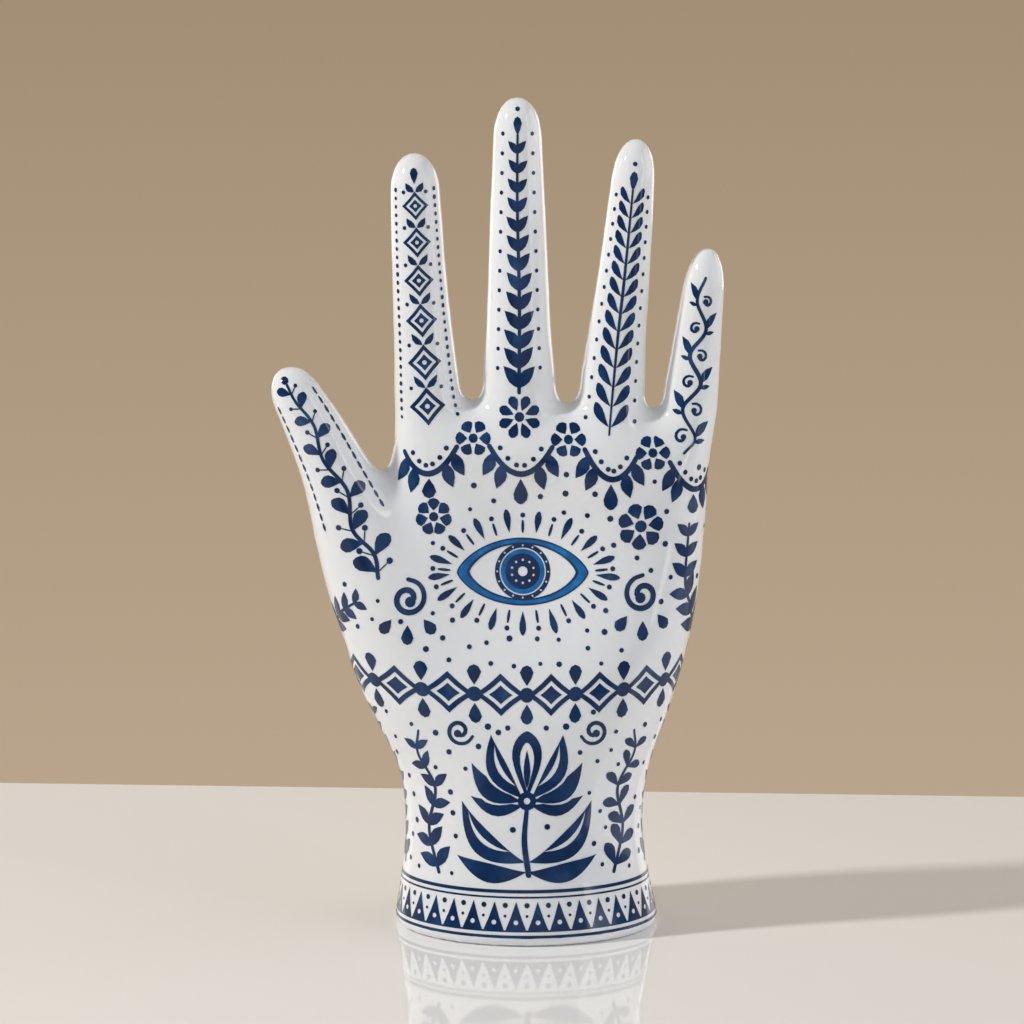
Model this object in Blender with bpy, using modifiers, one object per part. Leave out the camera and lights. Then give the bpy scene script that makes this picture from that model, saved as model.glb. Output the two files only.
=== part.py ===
# Hand jewelry stand: a left hand with its fingers up, slip-cast in one piece of glazed porcelain.
# It stands on its wrist. The palm faces -Y, the thumb points to -X, and the sizes are in millimetres.
import math

import bmesh
import bpy
import numpy as np
from mathutils import Vector

mm = 0.001

# Wrist and palm, from the foot to the finger roots:
# height, left edge, right edge, front (palm side), back, squareness of the oval.
palm_stations = [
    (-0.4, -25.9, 25.9, -21.5, 21.5, 2.00),
    (8.0, -24.7, 24.2, -19.9, 20.2, 2.00),
    (20.0, -23.6, 22.5, -18.0, 18.6, 2.05),
    (31.0, -25.0, 23.8, -16.6, 17.4, 2.10),
    (44.0, -31.3, 28.2, -15.2, 16.2, 2.20),
    (58.0, -36.2, 31.9, -13.4, 15.1, 2.30),
    (68.0, -38.0, 33.5, -12.2, 14.4, 2.30),
    (78.0, -35.0, 34.4, -10.3, 13.4, 2.35),
    (86.0, -27.2, 35.0, -8.8, 12.4, 2.40),
    (91.0, -26.4, 35.2, -8.2, 12.0, 2.40),
]
palm_cap = 9.8           # how far the palm rounds over between the finger roots
palm_cap_slope = -0.055  # the roots of the ring and little fingers sit lower

# Fingers, from the root inside the palm to the start of the rounded tip:
# centre x, centre y, centre z, half width, half depth.
index_stations = [
    (-17.6, 1.9, 84.0, 8.0, 8.4),
    (-18.8, 2.2, 100.0, 6.9, 7.4),
    (-19.5, 2.3, 110.0, 6.1, 6.5),
    (-20.5, 2.3, 125.0, 5.4, 5.7),
    (-21.3, 2.2, 142.4, 4.9, 5.1),
]
middle_stations = [
    (-1.3, 1.9, 84.0, 8.6, 8.6),
    (-1.4, 2.2, 100.0, 7.7, 7.7),
    (-1.6, 2.3, 114.0, 6.5, 6.7),
    (-1.7, 2.3, 130.0, 5.8, 5.9),
    (-1.8, 2.2, 152.6, 4.8, 4.9),
]
ring_stations = [
    (14.4, 1.9, 84.0, 7.6, 8.2),
    (15.9, 2.2, 100.0, 6.9, 7.2),
    (17.2, 2.3, 114.0, 5.8, 6.1),
    (18.6, 2.3, 127.0, 5.1, 5.4),
    (20.2, 2.2, 144.3, 4.3, 4.6),
]
little_stations = [
    (26.6, 2.0, 74.0, 5.2, 6.6),
    (29.0, 2.1, 86.0, 5.7, 6.7),
    (30.8, 2.2, 98.0, 5.7, 6.3),
    (32.2, 2.3, 110.0, 5.0, 5.3),
    (33.5, 2.2, 121.5, 4.3, 4.5),
]
thumb_stations = [
    (-18.5, 0.0, 50.0, 12.4, 11.8),
    (-26.5, -0.2, 66.0, 12.1, 11.2),
    (-31.7, -0.9, 77.8, 9.9, 9.6),
    (-36.4, -1.8, 88.2, 6.9, 7.4),
    (-40.3, -2.4, 96.6, 5.8, 6.1),
    (-43.5, -2.7, 102.6, 5.0, 5.3),
]
# Length of each rounded fingertip beyond its last station.
index_tip = 7.4
middle_tip = 7.8
ring_tip = 8.3
little_tip = 10.6
thumb_tip = 7.3

# Forms of the palm: x, z, radius across, radius up, and how far the glaze surface moves towards -Y.
palm_forms = [
    (-3.0, 72.5, 17.5, 18.0, -4.3),    # hollow of the palm
    (-19.0, 93.0, 6.5, 7.0, 0.6),      # pad under the index finger
    (-1.5, 94.0, 6.5, 7.0, 0.7),       # pad under the middle finger
    (15.0, 93.0, 6.5, 7.0, 0.7),       # pad under the ring finger
    (28.5, 89.5, 6.0, 8.0, 0.6),       # pad under the little finger
    (20.0, 52.0, 11.0, 17.0, 1.5),     # heel of the hand
    (-24.0, 60.0, 11.0, 17.0, 1.2),    # ball of the thumb
]

# Where the forms flow into each other: x, z, radius of the soft blend, and how often it is eased.
soft_places = [
    (-28.0, 85.0, 9.0, 15),     # saddle between thumb and index finger
    (-10.4, 101.0, 7.0, 15),    # saddle between index and middle finger
    (7.8, 100.5, 7.0, 15),      # saddle between middle and ring finger
    (23.8, 98.0, 7.0, 15),      # saddle between ring and little finger
    (-28.0, 69.0, 18.0, 75),    # the thumb grows out of the palm
    (-12.0, 60.0, 13.0, 60),    # the ball of the thumb runs out in the palm
    (-18.6, 95.0, 12.0, 66),    # root of the index finger
    (-1.4, 96.0, 12.0, 66),     # root of the middle finger
    (15.4, 95.5, 12.0, 66),     # root of the ring finger
    (29.4, 92.5, 10.0, 60),     # root of the little finger
]
blend_shares = (1.0, 0.8, 0.6)  # each place is eased in shrinking rounds, so that no edge shows

foot_round = 2.0         # rounding of the edge that meets the table
foot_rim = 3.6           # width of the bare ring that the stand rests on
foot_recess = 0.9        # how far the underside is set in from that ring
wall = 3.8               # thickness that the slip leaves in the mould
floor_thickness = 4.2    # thickness of the closed underside
vent_diameter = 3.5      # hole that lets the air out in the kiln
narrowest_core = 1.6     # narrower than this the slip fills a finger solid
trim_width = 200.0       # how far the cutters under the foot reach, across
trim_depth = 10.0        # and down

skin_voxel = 0.8         # grain of the blended outer surface
skin_rounds = 5          # how often the whole of it is eased
ring_faces = 44          # facets round a section
ring_spacing = 2.5       # distance between sections
core_faces = 20          # the same, for the cast hollow inside
core_spacing = 5.0
tip_rings = 7            # sections that round off a tip
skin_faces = 8800        # facets of the outer surface
sharp_angle = 30.0       # edges of the foot that stay crisp, in degrees

porcelain_colour = (0.86, 0.85, 0.81, 1.0)
porcelain_roughness = 0.12


# Rows are run through with a smooth curve, and read again at even distances.
def smooth_rows(rows, spacing, heights):
    rows = np.array(rows, dtype=float)
    steps = np.linalg.norm(np.diff(heights, axis=0), axis=1)
    at = np.concatenate([[0.0], np.cumsum(steps)])
    slopes = np.gradient(rows, at, axis=0)
    count = max(2, round(at[-1] / spacing))
    result = []
    for t in np.linspace(0.0, at[-1], count + 1):
        k = min(np.searchsorted(at, t, side="right") - 1, len(at) - 2)
        span = at[k + 1] - at[k]
        u = (t - at[k]) / span
        result.append((2 * u**3 - 3 * u**2 + 1) * rows[k] + (u**3 - 2 * u**2 + u) * span * slopes[k]
                      + (3 * u**2 - 2 * u**3) * rows[k + 1] + (u**3 - u**2) * span * slopes[k + 1])
    return result


# A rounded oval: a squareness of 2 is an ellipse, and more fills the corners.
def oval(centre, across, deep, half_width, half_depth, squareness, points):
    ring = []
    for k in range(points):
        angle = 2 * math.pi * k / points
        c, s = math.cos(angle), math.sin(angle)
        u = half_width * math.copysign(abs(c) ** (2 / squareness), c)
        v = half_depth * math.copysign(abs(s) ** (2 / squareness), s)
        ring.append((centre + across * u + deep * v) * mm)
    return ring


# Skins a row of rings that all have the same number of points, and closes both ends.
def loft(name, rings, collection):
    shape = bmesh.new()
    rows = [[shape.verts.new(point) for point in ring] for ring in rings]
    points = len(rings[0])
    for low, high in zip(rows, rows[1:]):
        for k in range(points):
            n = (k + 1) % points
            shape.faces.new((low[k], low[n], high[n], high[k]))
    shape.faces.new(list(reversed(rows[0])))
    shape.faces.new(rows[-1])
    bmesh.ops.recalc_face_normals(shape, faces=shape.faces)
    mesh = bpy.data.meshes.new(name)
    shape.to_mesh(mesh)
    shape.free()
    item = bpy.data.objects.new(name, mesh)
    collection.objects.link(item)
    return item


# The wrist and palm. An inset of the wall thickness gives the cast hollow inside.
def palm(name, collection, inset, bottom, spacing, points):
    stations = np.array(palm_stations)
    rows = smooth_rows(stations, spacing, stations[:, :1])
    rings = []
    across, deep = Vector((1, 0, 0)), Vector((0, 1, 0))

    def add_ring(z, left, right, front, back, squareness, shrink, slope):
        half_width = (right - left) / 2 - inset - shrink
        half_depth = (back - front) / 2 - inset - shrink
        centre = Vector(((left + right) / 2, (front + back) / 2, z))
        ring = oval(centre, across, deep, half_width, half_depth, squareness, points)
        rings.append([point + Vector((0, 0, slope * point.x)) for point in ring])

    if inset == 0:
        z, left, right, front, back, squareness = rows[0]
        for k in range(4):
            lean = math.pi / 2 * k / 4
            add_ring(z + foot_round * (1 - math.cos(lean)), left, right, front, back, squareness,
                     foot_round * (1 - math.sin(lean)), 0)
        rows = [row for row in rows if row[0] >= z + foot_round]
    else:
        floor = [np.interp(bottom, [row[0] for row in rows], [row[k] for row in rows]) for k in range(6)]
        rows = [floor] + [row for row in rows if row[0] > bottom + spacing / 2]
    for z, left, right, front, back, squareness in rows:
        reach = max(0.0, z - stations[-2][0]) / (stations[-1][0] - stations[-2][0])
        add_ring(z, left, right, front, back, squareness, 0, palm_cap_slope * reach)
    z, left, right, front, back, squareness = rows[-1]
    cap = max(palm_cap - inset, 1.0)
    for k in range(1, tip_rings):
        lean = math.pi / 2 * k / tip_rings
        add_ring(z + cap * math.sin(lean), left, right, front, back, squareness,
                 ((back - front) / 2 - inset) * (1 - math.cos(lean)), palm_cap_slope)
    return loft(name, rings, collection)


# A finger: sections square to its own axis, with a rounded tip.
def finger(name, collection, stations, tip, inset, spacing, points):
    rows = np.array(stations)
    path = smooth_rows(rows, spacing, rows[:, :3])
    if inset > 0:
        path = [row for row in path if min(row[3], row[4]) - inset > narrowest_core]
        tip = narrowest_core
    rings = []
    for k, (x, y, z, half_width, half_depth) in enumerate(path):
        before, after = path[max(k - 1, 0)], path[min(k + 1, len(path) - 1)]
        along = Vector(after[:3] - before[:3]).normalized()
        across = Vector((0, 1, 0)).cross(along).normalized()
        deep = along.cross(across)
        rings.append(oval(Vector((x, y, z)), across, deep, half_width - inset, half_depth - inset, 2, points))
    centre = Vector(path[-1][:3])
    for k in range(1, tip_rings):
        lean = math.pi / 2 * k / tip_rings
        shrink = math.cos(lean)
        rings.append(oval(centre + along * tip * math.sin(lean), across, deep,
                          (half_width - inset) * shrink, (half_depth - inset) * shrink, 2, points))
    return loft(name, rings, collection)


def digits():
    return {"index": (index_stations, index_tip), "middle": (middle_stations, middle_tip),
            "ring": (ring_stations, ring_tip), "little": (little_stations, little_tip),
            "thumb": (thumb_stations, thumb_tip)}


def add_boolean(item, other, operation):
    modifier = item.modifiers.new(operation.lower() + "_" + other.name, "BOOLEAN")
    modifier.operation = operation
    modifier.object = other
    modifier.solver = "EXACT"


# The palm and fingers joined, seen through one even skin.
def joined(item, others, voxel):
    for other in others:
        add_boolean(item, other, "UNION")
    if voxel:
        skin = item.modifiers.new("skin", "REMESH")
        skin.mode = "VOXEL"
        skin.voxel_size = voxel * mm
    mesh = bpy.data.meshes.new_from_object(item.evaluated_get(bpy.context.evaluated_depsgraph_get()))
    for other in others:
        bpy.data.objects.remove(other)
    item.modifiers.clear()
    item.data = mesh
    return item


# Swells the pads and mounds of the palm and sinks its hollow. Only what faces the palm side moves.
def form_palm(shape):
    for vert in shape.verts:
        x, y, z = vert.co / mm
        front = min(max((2.0 - y) / 6.0, 0.0), 1.0)
        move = sum(height * math.exp(-((x - cx) / rx) ** 2 - ((z - cz) / rz) ** 2)
                   for cx, cz, rx, rz, height in palm_forms)
        vert.co.y -= move * front * mm


def ease(shape, verts, rounds):
    for turn in range(rounds):
        bmesh.ops.smooth_vert(shape, verts=verts, factor=0.5,
                              use_axis_x=True, use_axis_y=True, use_axis_z=True)


# Eases the whole skin, and most of all the places where the forms flow into each other.
def soften(shape):
    ease(shape, shape.verts, skin_rounds)
    for x, z, radius, rounds in soft_places:
        for share in blend_shares:
            reach = radius * share * mm
            near = [vert for vert in shape.verts
                    if (vert.co.x - x * mm) ** 2 + (vert.co.z - z * mm) ** 2 < reach**2]
            ease(shape, near, round(rounds / len(blend_shares)))


def shaped(item, steps):
    shape = bmesh.new()
    shape.from_mesh(item.data)
    for step in steps:
        step(shape)
    shape.to_mesh(item.data)
    shape.free()
    return item


def as_cutter(item):
    item.hide_render = True
    item.display_type = "WIRE"
    return item


# The hollow that the drained slip leaves: the same hand, one wall thickness smaller.
def casting_core(collection):
    core = palm("casting_core", collection, wall, foot_recess + floor_thickness, core_spacing, core_faces)
    fingers = [finger("core_" + name, collection, stations, tip, wall, core_spacing, core_faces // 2)
               for name, (stations, tip) in digits().items()]
    joined(core, fingers, None)
    return as_cutter(shaped(core, [form_palm]))


# Everything below the table's surface, cut off so that the foot is flat.
def below_the_table(collection):
    width, depth = trim_width * mm, trim_depth * mm
    bpy.ops.mesh.primitive_cube_add(size=1, location=(0, 0, -depth / 2), scale=(width, width, depth))
    return moved_to(collection, "below_the_table")


def underside_recess(collection):
    z, left, right, front, back, squareness = palm_stations[0]
    inset = foot_round + foot_rim
    across, deep = Vector((1, 0, 0)), Vector((0, 1, 0))
    rings = []
    for height, shrink in ((-trim_depth, 0.0), (0.0, 0.0), (foot_recess, foot_recess)):
        centre = Vector(((left + right) / 2, (front + back) / 2, height))
        rings.append(oval(centre, across, deep, (right - left) / 2 - inset - shrink,
                          (back - front) / 2 - inset - shrink, squareness, ring_faces))
    return as_cutter(loft("underside_recess", rings, collection))


def vent(collection):
    depth = 4 * floor_thickness * mm
    bpy.ops.mesh.primitive_cylinder_add(vertices=20, radius=vent_diameter / 2 * mm, depth=depth)
    return moved_to(collection, "vent")


def moved_to(collection, name):
    item = bpy.context.object
    item.name = name
    for owner in list(item.users_collection):
        owner.objects.unlink(item)
    collection.objects.link(item)
    return as_cutter(item)


def glazed_porcelain():
    material = bpy.data.materials.new("glazed_porcelain")
    material.use_nodes = True
    shader = material.node_tree.nodes["Principled BSDF"]
    shader.inputs["Base Color"].default_value = porcelain_colour
    shader.inputs["Roughness"].default_value = porcelain_roughness
    return material


# The origin is on the table, in the middle of the box round the whole hand.
def centre_on_table(item):
    points = np.array([vert.co for vert in item.data.vertices])
    middle = (points.min(axis=0) + points.max(axis=0)) / 2
    item.location = (-middle[0], -middle[1], 0)


def new_collection(name):
    collection = bpy.data.collections.new(name)
    bpy.context.scene.collection.children.link(collection)
    return collection


def build():
    for item in list(bpy.data.objects):
        bpy.data.objects.remove(item)
    parts = new_collection("hand jewelry stand")
    cutters = new_collection("cutters")

    hand = palm("porcelain_hand", parts, 0, 0, ring_spacing, ring_faces)
    fingers = [finger(name, parts, stations, tip, 0, ring_spacing, ring_faces)
               for name, (stations, tip) in digits().items()]
    joined(hand, fingers, skin_voxel)
    shaped(hand, [soften, form_palm])

    fewer = hand.modifiers.new("fewer_faces", "DECIMATE")
    fewer.ratio = skin_faces / (2 * len(hand.data.polygons))
    for cutter in (below_the_table(cutters), underside_recess(cutters), casting_core(cutters), vent(cutters)):
        add_boolean(hand, cutter, "DIFFERENCE")

    joined(hand, [], None)
    hand.data.materials.clear()
    hand.data.materials.append(glazed_porcelain())
    hand.data.shade_smooth()
    hand.data.set_sharp_from_angle(angle=math.radians(sharp_angle))
    centre_on_table(hand)


build()
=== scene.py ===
# A ring stand in the shape of a hand: glazed white porcelain with a print of blue folk motifs.
# Lengths in the dictionaries are in millimetres, and angles in degrees.
import math
import random
from bisect import bisect_right

import bmesh
import bpy
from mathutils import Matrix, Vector
from mathutils.bvhtree import BVHTree
from mathutils.geometry import delaunay_2d_cdt
from mathutils.interpolate import poly_3d_calc


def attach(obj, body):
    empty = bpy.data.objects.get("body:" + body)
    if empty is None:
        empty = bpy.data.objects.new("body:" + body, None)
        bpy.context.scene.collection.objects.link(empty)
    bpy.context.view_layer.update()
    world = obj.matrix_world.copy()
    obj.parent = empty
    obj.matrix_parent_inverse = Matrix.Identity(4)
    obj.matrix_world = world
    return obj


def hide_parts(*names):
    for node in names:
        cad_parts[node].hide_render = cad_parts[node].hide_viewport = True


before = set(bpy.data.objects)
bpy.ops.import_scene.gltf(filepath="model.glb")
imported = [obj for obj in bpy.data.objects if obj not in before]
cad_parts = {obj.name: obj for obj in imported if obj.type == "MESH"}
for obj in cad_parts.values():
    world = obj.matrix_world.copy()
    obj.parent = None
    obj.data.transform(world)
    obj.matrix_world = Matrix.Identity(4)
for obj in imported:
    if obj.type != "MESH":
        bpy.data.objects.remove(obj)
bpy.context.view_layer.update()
mm = 0.001
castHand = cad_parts["porcelain_hand"]
footXs = [v.co.x for v in castHand.data.vertices if v.co.z < 1 * mm]
wristX = (min(footXs) + max(footXs)) / 2 / mm  # the drawing is laid out from the middle of the wrist


def srgb(code):  # hex colour as a screen shows it, turned to the linear one that Blender wants
    parts = [int(code[i:i + 2], 16) / 255 for i in (1, 3, 5)]
    return [p / 12.92 if p <= 0.04045 else ((p + 0.055) / 1.055) ** 2.4 for p in parts] + [1.0]


def addNode(tree, kind, settings=None, links=None):
    node = tree.nodes.new(kind)
    for name, value in (settings or {}).items():
        if isinstance(name, str) and hasattr(node, name):
            setattr(node, name, value)
        else:
            node.inputs[name].default_value = value
    for name, source in (links or {}).items():
        tree.links.new(source, node.inputs[name])
    return node


def newMaterial(name):
    material = bpy.data.materials.new(name)
    material.use_nodes = True
    material.node_tree.nodes.clear()
    return material, material.node_tree


def newObject(name, mesh, materials):
    item = bpy.data.objects.new(name, mesh)
    bpy.context.scene.collection.objects.link(item)
    for material in materials:
        mesh.materials.append(material)
    return item


glaze = {
    "white": "#F1F2F3",        # clear glaze over white slip-cast porcelain
    "thickWhite": "#E8EAEC",   # where the glaze lies a little thicker
    "cloud": 22.0,             # size of those slow changes
    "roughness": 0.07,
    "wave": 9.0,               # distance between the slow dips that a poured glaze keeps
    "waveDepth": 0.03,
    "peel": 1.1,               # fine orange peel, drawn a little coarser than real so that it shows
    "peelDepth": 0.0012,
    "scatter": 1.2,            # how far light travels in the body
    "scattered": 0.12,         # share of the light that does
}


def glazeSkin(tree):  # the same glossy skin lies over the white and over the print
    place = addNode(tree, "ShaderNodeTexCoord").outputs["Object"]
    clouds = addNode(tree, "ShaderNodeTexNoise", {"Scale": 1000 / glaze["cloud"], "Detail": 2.0}, {"Vector": place})
    rough = addNode(tree, "ShaderNodeMapRange",
                    {"From Min": 0.3, "From Max": 0.7,
                     "To Min": glaze["roughness"] * 0.8, "To Max": glaze["roughness"] * 1.4},
                    {"Value": clouds.outputs[0]})
    waves = addNode(tree, "ShaderNodeTexNoise", {"Scale": 1000 / glaze["wave"], "Detail": 1.0}, {"Vector": place})
    peel = addNode(tree, "ShaderNodeTexNoise", {"Scale": 1000 / glaze["peel"], "Detail": 1.0}, {"Vector": place})
    slow = addNode(tree, "ShaderNodeBump", {"Strength": 1.0, "Distance": glaze["waveDepth"] * mm},
                   {"Height": waves.outputs[0]})
    fine = addNode(tree, "ShaderNodeBump", {"Strength": 1.0, "Distance": glaze["peelDepth"] * mm},
                   {"Height": peel.outputs[0], "Normal": slow.outputs[0]})
    return place, clouds.outputs[0], rough.outputs[0], fine.outputs[0]


def glazedPorcelain():
    # Porcelain, slip-cast, with a poured clear glaze: mirror-like lights with slightly wavy edges over a
    # soft white that lets a little light through.
    material, tree = newMaterial("glazed_porcelain")
    _, clouds, rough, skin = glazeSkin(tree)
    tint = addNode(tree, "ShaderNodeMix", {"data_type": "RGBA", 6: srgb(glaze["white"]), 7: srgb(glaze["thickWhite"])},
                   {0: clouds})
    shader = addNode(tree, "ShaderNodeBsdfPrincipled",
                     {"IOR": 1.5, "Subsurface Weight": glaze["scattered"], "Subsurface Radius": (1.0, 0.85, 0.7),
                      "Subsurface Scale": glaze["scatter"] * mm},
                     {"Base Color": tint.outputs[2], "Roughness": rough, "Normal": skin})
    addNode(tree, "ShaderNodeOutputMaterial", links={"Surface": shader.outputs[0]})
    return material


bisque = {
    "colour": "#E6E1D6", "shade": "#D6CFC0",
    "grit": 0.5, "gritDepth": 0.02,   # sand grain, drawn coarser than real so that it shows
    "roughness": 0.82,
}


def bisqueFoot():
    # Bisque porcelain, fired bare and rubbed flat: dull and slightly gritty beside the glaze.
    material, tree = newMaterial("bisque_porcelain")
    place = addNode(tree, "ShaderNodeTexCoord")
    grit = addNode(tree, "ShaderNodeTexNoise", {"Scale": 1000 / bisque["grit"], "Detail": 4.0},
                   {"Vector": place.outputs["Object"]})
    tint = addNode(tree, "ShaderNodeMix", {"data_type": "RGBA", 6: srgb(bisque["colour"]), 7: srgb(bisque["shade"])},
                   {0: grit.outputs[0]})
    sandy = addNode(tree, "ShaderNodeBump", {"Strength": 0.6, "Distance": bisque["gritDepth"] * mm},
                    {"Height": grit.outputs[0]})
    shader = addNode(tree, "ShaderNodeBsdfPrincipled", {"Roughness": bisque["roughness"], "IOR": 1.5},
                     {"Base Color": tint.outputs[2], "Normal": sandy.outputs[0]})
    addNode(tree, "ShaderNodeOutputMaterial", links={"Surface": shader.outputs[0]})
    return material


inks = {
    # full colour, where the ink pooled, where it went on thin, size of those patches
    "navy": ("#04305F", "#02244E", "#234673", 5.0),
    "bright": ("#0168AC", "#02568F", "#1784CB", 3.0),
}
inkReach = {"pooled": 0.36, "full": 0.56, "thin": 0.74}  # where each of the three lies in the patches


def cobaltPrint(ink):
    # Cobalt transfer print, fired under the clear glaze: deep blue that pools and thins in patches,
    # with the same gloss as the white round it.
    full, pooled, thin, patch = inks[ink]
    material, tree = newMaterial("cobalt_print_" + ink)
    place, _, rough, skin = glazeSkin(tree)
    patches = addNode(tree, "ShaderNodeTexNoise", {"Scale": 1000 / patch, "Detail": 3.0}, {"Vector": place})
    ramp = addNode(tree, "ShaderNodeValToRGB", links={0: patches.outputs[0]})
    stops = ramp.color_ramp.elements
    stops[0].position, stops[0].color = inkReach["pooled"], srgb(pooled)
    stops[1].position, stops[1].color = inkReach["thin"], srgb(thin)
    middle = stops.new(inkReach["full"])
    middle.color = srgb(full)
    shader = addNode(tree, "ShaderNodeBsdfPrincipled", {"IOR": 1.5},
                     {"Base Color": ramp.outputs[0], "Roughness": rough, "Normal": skin})
    addNode(tree, "ShaderNodeOutputMaterial", links={"Surface": shader.outputs[0]})
    return material


handBody = {
    "grain": 0.7,         # grain of the fine surface
    "easing": 14,         # rounds of smoothing that take out the facets of the cast form
    "footHeld": 2.5,      # below this height the foot keeps its form
    "footFree": 9.0,      # above this one the smoothing is full
    "footShare": 0.12,    # share of the smoothing that the foot gets
    "bareHeight": 0.45,   # the glaze is wiped off the foot up to here
    "crisp": 50.0,        # edges sharper than this stay crisp
    "printFrom": 1.3,     # the print finds its place on the skin above this height
}


def finished(item):  # the item's modifiers made real
    mesh = bpy.data.meshes.new_from_object(item.evaluated_get(bpy.context.evaluated_depsgraph_get()))
    item.modifiers.clear()
    item.data = mesh


def glazedHand():
    hand = newObject("glazed_hand", castHand.data.copy(), [])
    weld = hand.modifiers.new("weld", "WELD")
    weld.merge_threshold = 0.001 * mm
    remesh = hand.modifiers.new("fine surface", "REMESH")
    remesh.mode = "VOXEL"
    remesh.voxel_size = handBody["grain"] * mm
    finished(hand)
    free = hand.vertex_groups.new(name="free")
    for v in hand.data.vertices:
        share = (v.co.z / mm - handBody["footHeld"]) / (handBody["footFree"] - handBody["footHeld"])
        free.add([v.index], min(max(share, handBody["footShare"]), 1.0), "REPLACE")
    ease = hand.modifiers.new("easing", "SMOOTH")
    ease.iterations = handBody["easing"]
    ease.vertex_group = "free"
    finished(hand)
    hand.vertex_groups.clear()
    bare = handBody["bareHeight"] * mm
    skin = bmesh.new()
    skin.from_mesh(hand.data)
    for v in skin.verts:
        v.co.z = max(v.co.z, 0.0)
    bmesh.ops.bisect_plane(skin, geom=skin.verts[:] + skin.edges[:] + skin.faces[:], dist=0.0001 * mm,
                           plane_co=(0, 0, bare), plane_no=(0, 0, 1))
    for face in skin.faces:
        face.smooth = True
        face.material_index = 1 if face.calc_center_median().z < bare else 0
    skin.to_mesh(hand.data)
    skin.free()
    hand.data.materials.clear()
    for material in (glazedPorcelain(), bisqueFoot()):
        hand.data.materials.append(material)
    hand.data.set_sharp_from_angle(angle=math.radians(handBody["crisp"]))
    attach(hand, "root")
    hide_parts("porcelain_hand")
    return hand


hand = glazedHand()
print("hand:", len(hand.data.polygons), "faces")


def outsideOf(item, above):  # the faces that are seen from outside: those joined to the highest tip
    shape = bmesh.new()
    shape.from_mesh(item.data)
    start = max(shape.verts, key=lambda v: v.co.z)
    reached, waiting = {start}, [start]
    while waiting:
        for edge in waiting.pop().link_edges:
            for v in edge.verts:
                if v not in reached and v.co.z > above:
                    reached.add(v)
                    waiting.append(v)
    faces = [[v.index for v in face.verts] for face in shape.faces if all(v in reached for v in face.verts)]
    shape.free()
    return faces


skinFaces = outsideOf(hand, handBody["printFrom"] * mm)
skinPoints = [v.co.copy() for v in hand.data.vertices]
skinNormals = [v.normal.copy() for v in hand.data.vertices]
skinTree = BVHTree.FromPolygons(skinPoints, skinFaces)

# Middle lines that the drawing is unrolled from, measured from the middle of the wrist.
middleLines = {
    "palm": [(0.0, 0.0, 2.0), (0.0, 0.0, 98.0)],
    "wrist": [(0.0, 0.0, 2.0), (0.0, 0.0, 12.0)],
    "band": [(0.0, 0.0, 42.0), (0.0, 0.0, 62.0)],
    "thumb": [(-26.5, -0.2, 66.0), (-31.7, -0.9, 77.8), (-36.2, -1.8, 88.2), (-40.3, -2.4, 96.6), (-43.5, -2.7, 102.6),
              (-47.0, -3.0, 108.4), (-48.0, -3.1, 110.4)],
    "index": [(-18.6, 2.2, 96.0), (-19.5, 2.3, 110.0), (-20.5, 2.3, 125.0), (-21.3, 2.2, 142.4), (-21.6, 2.2, 148.6)],
    "middle": [(-1.4, 2.2, 96.0), (-1.6, 2.3, 114.0), (-1.7, 2.3, 130.0), (-1.8, 2.2, 152.6), (-1.8, 2.2, 159.0)],
    "ring": [(15.6, 2.2, 96.0), (17.2, 2.3, 114.0), (18.6, 2.3, 127.0), (20.2, 2.2, 144.3), (20.9, 2.2, 152.6)],
    "little": [(30.4, 2.2, 94.0), (32.2, 2.3, 110.0), (33.5, 2.2, 121.5), (34.5, 2.2, 132.6)],
}
unrolling = {
    "rowSpacing": 1.0, "turnStep": 2.0,
    "turnLimit": 120.0,             # how far round a sheet goes each way
    "allRound": ("wrist", "band"),  # these two meet themselves at the back
    "reach": 70.0, "longestStep": 4.0,
    "lift": 0.06,                   # thickness of the ink
    "stretch": 1.7, "slack": 0.15,  # the film is left out where it would be drawn out more than this
}


def curveThrough(points, step):  # smooth line through the points, read about every step
    points = [Vector(p) for p in points]
    ends = [2 * points[0] - points[1]] + points + [2 * points[-1] - points[-2]]
    line = []
    for a, b, c, d in zip(ends, ends[1:], ends[2:], ends[3:]):
        count = max(1, round((c - b).length / step))
        for k in range(count):
            t = k / count
            bend, twist = 2 * a - 5 * b + 4 * c - d, 3 * b - a - 3 * c + d
            line.append(0.5 * (2 * b + (c - a) * t + bend * t * t + twist * t ** 3))
    return line + [points[-1]]


def unrolled(middleLine, allRound=False):
    # rows of points on the glaze, each with its distance round from the front, and the height of each row
    origin = Vector((wristX, 0, 0))
    path = curveThrough([origin + Vector(p) for p in middleLine], unrolling["rowSpacing"])
    turns = int((180 if allRound else unrolling["turnLimit"]) / unrolling["turnStep"])
    rows, heights, height = [], [], 0.0
    for k, centre in enumerate(path):
        before, after = path[max(k - 1, 0)], path[min(k + 1, len(path) - 1)]
        along = (after - before).normalized()
        front = Vector((0, -1, 0))
        front = (front - along * front.dot(along)).normalized()
        side = along.cross(front)
        row = []
        for way in (-1, 1):
            half, distance, last = [], 0.0, None
            for turn in range(turns + 1):
                angle = math.radians(turn * unrolling["turnStep"]) * way
                outwards = front * math.cos(angle) + side * math.sin(angle)
                hit = skinTree.ray_cast(centre * mm, outwards, unrolling["reach"] * mm)[0]
                if hit is None or last and (hit - last).length > unrolling["longestStep"] * mm:
                    break
                distance += (hit - last).length / mm if last else 0.0
                last = hit
                half.append((way * distance, hit))
            row = half[:0:-1] + row if way < 0 else row + half
        if row:
            rows.append(row)
            heights.append(height)
        height += (after - centre).length if k + 1 < len(path) else 0.0
    if allRound:  # every row gets the same length, so that a border meets itself at the back
        half = sum(row[-1][0] - row[0][0] for row in rows) / len(rows) / 2
        rows = [[(u * half / (row[-1][0] if u > 0 else -row[0][0]), p) for u, p in row] for row in rows]
    return heights, rows


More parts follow.
